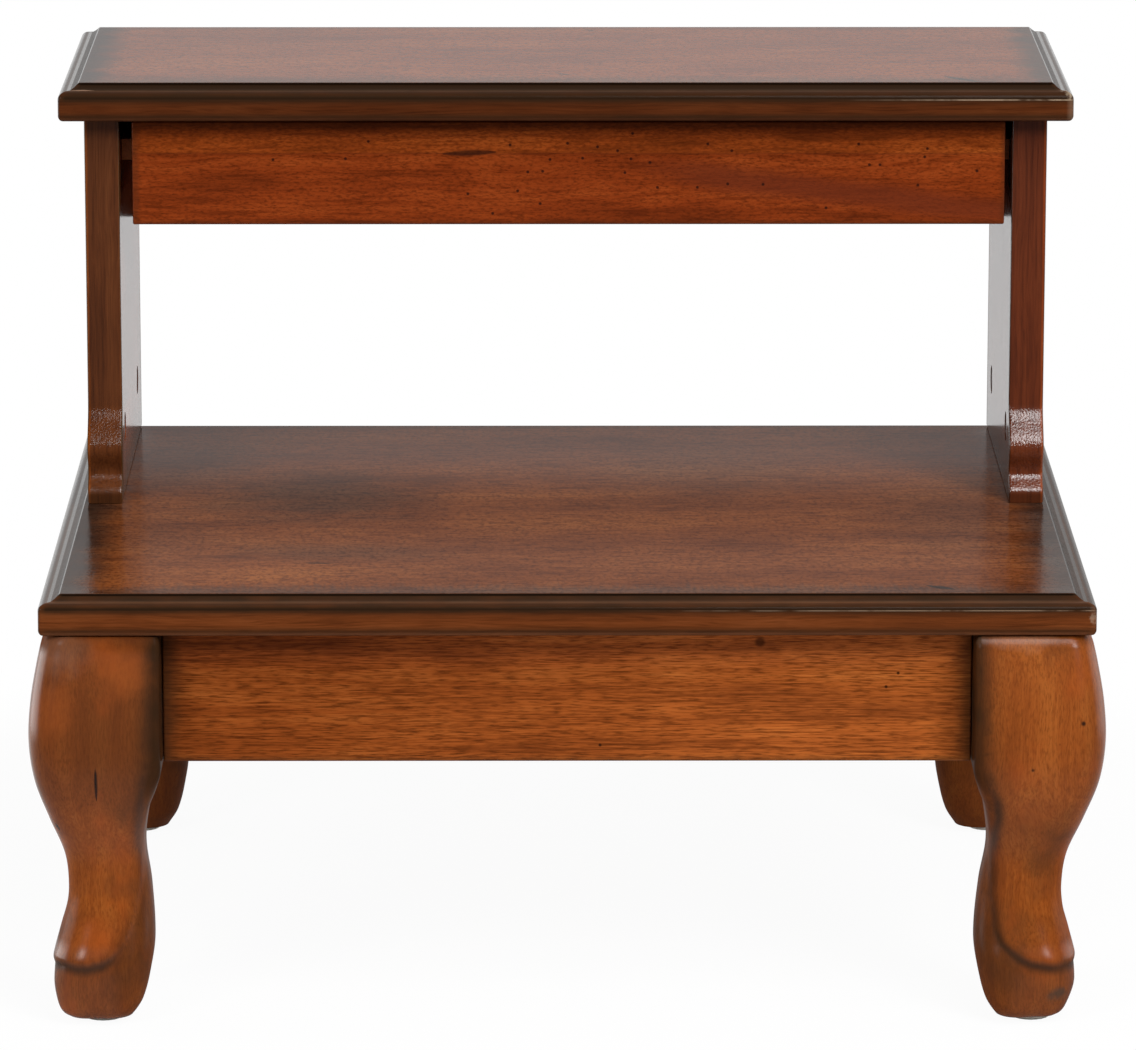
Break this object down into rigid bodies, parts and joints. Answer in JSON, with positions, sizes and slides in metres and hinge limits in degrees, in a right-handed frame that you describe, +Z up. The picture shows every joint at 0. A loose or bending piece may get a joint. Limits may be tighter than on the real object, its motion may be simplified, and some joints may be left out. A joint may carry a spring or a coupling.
{
  "type": "step stool with drawer",
  "caption": "Two-tread wooden bed step on cabriole legs, with moulded treads, ogee-footed side panels and a drawer that slides out from under the upper tread.",
  "frame": {"origin": "on the floor, under the middle of the lower tread, which is the middle of the outline's base", "axes": "+X to the right as seen from the front, +Y from the front to the rear, +Z up"},
  "size_m": [0.5214, 0.4194, 0.432],
  "materials": {
    "tread_stain": "red-brown stain under semi-gloss lacquer, with darker rubbed edges",
    "panel_stain": "dark red-brown stain under semi-gloss lacquer",
    "drawer_stain": "warm red-orange stain under satin lacquer, lightly distressed",
    "apron_stain": "warm orange-brown stain under satin lacquer, lightly distressed",
    "leg_stain": "orange-brown stain under semi-gloss lacquer, dark glaze in the hollows",
    "inner_wood": "plain unfinished wood",
    "zinc": "dull zinc plate",
    "glide_plastic": "off-white matt plastic"
  },
  "bodies": {
    "stool": {"lower_tread": "tread_stain", "upper_tread": "tread_stain", "side_panel_left": "panel_stain", "side_panel_right": "panel_stain", "back_rail": "panel_stain", "drawer_runner_left": "panel_stain", "drawer_runner_right": "panel_stain", "apron_front": "apron_stain", "apron_rear": "apron_stain", "apron_left": "apron_stain", "apron_right": "apron_stain", "leg_front_left": "leg_stain", "corner_block_front_left": "inner_wood", "hanger_bolt_front_left": "zinc", "hanger_nut_front_left": "zinc", "tread_screw_front_left": "zinc", "foot_glide_front_left": "glide_plastic", "leg_front_right": "leg_stain", "corner_block_front_right": "inner_wood", "hanger_bolt_front_right": "zinc", "hanger_nut_front_right": "zinc", "tread_screw_front_right": "zinc", "foot_glide_front_right": "glide_plastic", "leg_rear_left": "leg_stain", "corner_block_rear_left": "inner_wood", "hanger_bolt_rear_left": "zinc", "hanger_nut_rear_left": "zinc", "tread_screw_rear_left": "zinc", "foot_glide_rear_left": "glide_plastic", "leg_rear_right": "leg_stain", "corner_block_rear_right": "inner_wood", "hanger_bolt_rear_right": "zinc", "hanger_nut_rear_right": "zinc", "tread_screw_rear_right": "zinc", "foot_glide_rear_right": "glide_plastic", "runner_screw_left_front": "zinc", "cam_lock_lower_left_front": "zinc", "cam_bolt_lower_left_front": "zinc", "cam_lock_upper_left_front": "zinc", "cam_bolt_upper_left_front": "zinc", "runner_screw_left_rear": "zinc", "cam_lock_lower_left_rear": "zinc", "cam_bolt_lower_left_rear": "zinc", "cam_lock_upper_left_rear": "zinc", "cam_bolt_upper_left_rear": "zinc", "runner_screw_right_front": "zinc", "cam_lock_lower_right_front": "zinc", "cam_bolt_lower_right_front": "zinc", "cam_lock_upper_right_front": "zinc", "cam_bolt_upper_right_front": "zinc", "runner_screw_right_rear": "zinc", "cam_lock_lower_right_rear": "zinc", "cam_bolt_lower_right_rear": "zinc", "cam_lock_upper_right_rear": "zinc", "cam_bolt_upper_right_rear": "zinc"},
    "drawer": {"drawer_front": "drawer_stain", "drawer_side_left": "inner_wood", "drawer_side_right": "inner_wood", "drawer_back": "inner_wood", "drawer_bottom": "inner_wood"}
  },
  "joints": [
    {"name": "drawer_slide", "type": "slide", "parent": "stool", "child": "drawer", "axis": [0, -1, 0], "range_m": [0, 0.1]}
  ]
}
